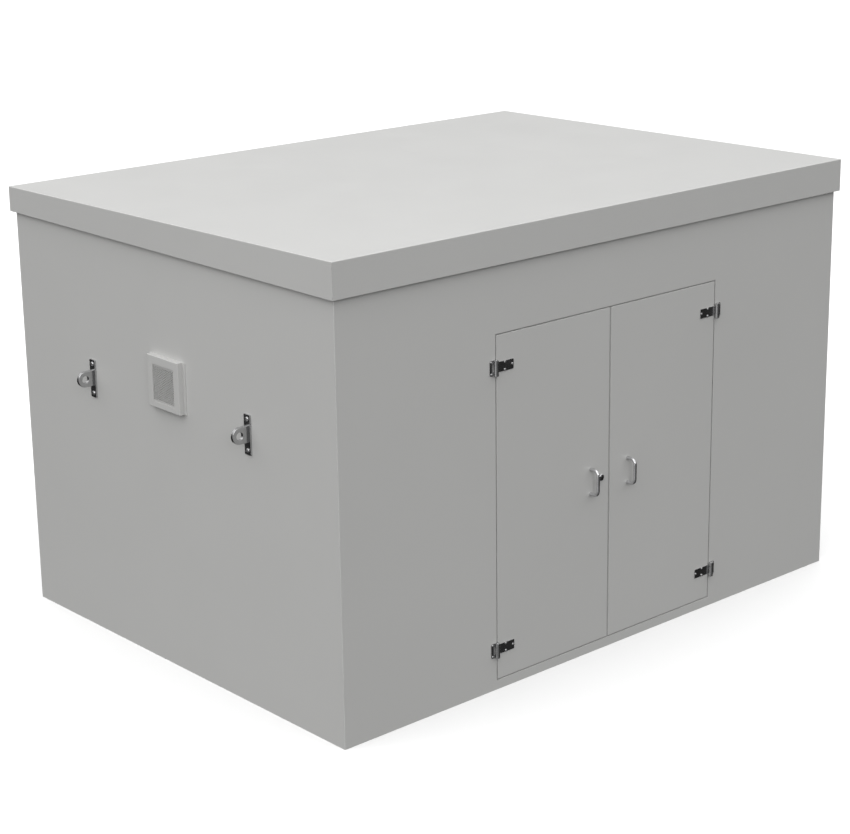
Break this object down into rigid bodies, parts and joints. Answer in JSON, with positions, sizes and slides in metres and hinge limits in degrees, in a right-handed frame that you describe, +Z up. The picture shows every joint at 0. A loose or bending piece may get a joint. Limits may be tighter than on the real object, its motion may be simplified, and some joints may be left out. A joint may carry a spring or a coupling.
{
  "type": "battery box",
  "caption": "Insulated outdoor battery enclosure with flush double doors, overhanging roof cap, side vents, pad eyes and an inner battery rack.",
  "frame": {"origin": "centre of the base footprint, on the ground", "axes": "+Z up, +X to the right when facing the doors, doors on the -Y side"},
  "size_m": [2.5338, 1.873, 1.6],
  "materials": {
    "wall_paint": "semi-gloss powder coat",
    "grille_metal": "semi-gloss powder coat",
    "polished_steel": "polished",
    "stainless": "bright satin",
    "screw_steel": "satin",
    "zinc_steel": "zinc plated",
    "frame_steel": "satin primer",
    "liner_sheet": "satin white",
    "floor_plate": "mill finish",
    "insulation": "closed-cell foam",
    "seal_rubber": "matt",
    "gap_seal": "matt grey",
    "rack_steel": "satin powder coat",
    "battery_case": "moulded",
    "battery_lid": "moulded",
    "terminal_brass": "machined",
    "link_metal": "rolled bar",
    "gland_plastic": "moulded",
    "isolator_plastic": "moulded",
    "knob_plastic": "moulded"
  },
  "bodies": {
    "enclosure": {"back_wall": "wall_paint", "base_anchor_blocks": "frame_steel", "base_cross_members": "frame_steel", "base_rails": "frame_steel", "battery_cases": "battery_case", "battery_lids": "battery_lid", "battery_links": "link_metal", "battery_terminals": "terminal_brass", "cable_glands": "gland_plastic", "ceiling_liner": "liner_sheet", "corner_posts": "frame_steel", "door_frame": "frame_steel", "door_seals": "gap_seal", "floor_panel": "floor_plate", "front_liner": "liner_sheet", "front_wall": "wall_paint", "hinge_pins": "stainless", "hinge_wall_leaves": "stainless", "isolator_box": "isolator_plastic", "left_pad_eyes": "stainless", "left_vent_cowl": "wall_paint", "left_vent_grille": "grille_metal", "left_wall": "wall_paint", "rack_beams": "rack_steel", "rack_shelves": "rack_steel", "rack_uprights": "rack_steel", "right_pad_eyes": "stainless", "right_vent_cowl": "wall_paint", "right_vent_grille": "grille_metal", "right_wall": "wall_paint", "roof_cap": "wall_paint", "roof_insulation": "insulation", "roof_seal": "seal_rubber", "side_and_back_liners": "liner_sheet", "top_rails": "frame_steel", "vent_sleeves": "liner_sheet", "wall_insulation": "insulation", "wall_screws": "screw_steel"},
    "left_door": {"left_door_skin": "wall_paint", "left_door_insulation": "insulation", "left_door_liner": "liner_sheet", "left_door_hinge_leaves": "stainless", "left_door_screws": "screw_steel", "left_pull_handle": "polished_steel", "lock_housing": "polished_steel", "lock_nut": "screw_steel"},
    "lock": {"lock_plug": "polished_steel", "lock_cam": "zinc_steel"},
    "right_door": {"right_door_skin": "wall_paint", "right_door_insulation": "insulation", "right_door_liner": "liner_sheet", "right_door_hinge_leaves": "stainless", "right_door_screws": "screw_steel", "right_pull_handle": "polished_steel", "lock_keeper": "zinc_steel", "meeting_seal": "gap_seal", "bolt_guides": "zinc_steel"},
    "top_bolt": {"top_slide_bolt": "zinc_steel"},
    "bottom_bolt": {"bottom_slide_bolt": "zinc_steel"},
    "isolator_switch": {"isolator_knob": "knob_plastic"}
  },
  "joints": [
    {"name": "left_door_swing", "type": "hinge", "parent": "enclosure", "child": "left_door", "pos_m": [-0.541, -0.9083, 0.64], "axis": [0, 0, -1], "range_deg": [0, 170]},
    {"name": "right_door_swing", "type": "hinge", "parent": "enclosure", "child": "right_door", "pos_m": [0.541, -0.9083, 0.64], "axis": [0, 0, 1], "range_deg": [0, 170]},
    {"name": "lock_turn", "type": "hinge", "parent": "left_door", "child": "lock", "pos_m": [-0.045, -0.9, 0.644], "axis": [0, -1, 0], "range_deg": [0, 90]},
    {"name": "top_bolt_slide", "type": "slide", "parent": "right_door", "child": "top_bolt", "axis": [0, 0, 1], "range_m": [0, 0.028]},
    {"name": "bottom_bolt_slide", "type": "slide", "parent": "right_door", "child": "bottom_bolt", "axis": [0, 0, -1], "range_m": [0, 0.028]},
    {"name": "isolator_turn", "type": "hinge", "parent": "enclosure", "child": "isolator_switch", "pos_m": [-1.06, -0.3, 1.15], "axis": [1, 0, 0], "range_deg": [0, 90]}
  ]
}
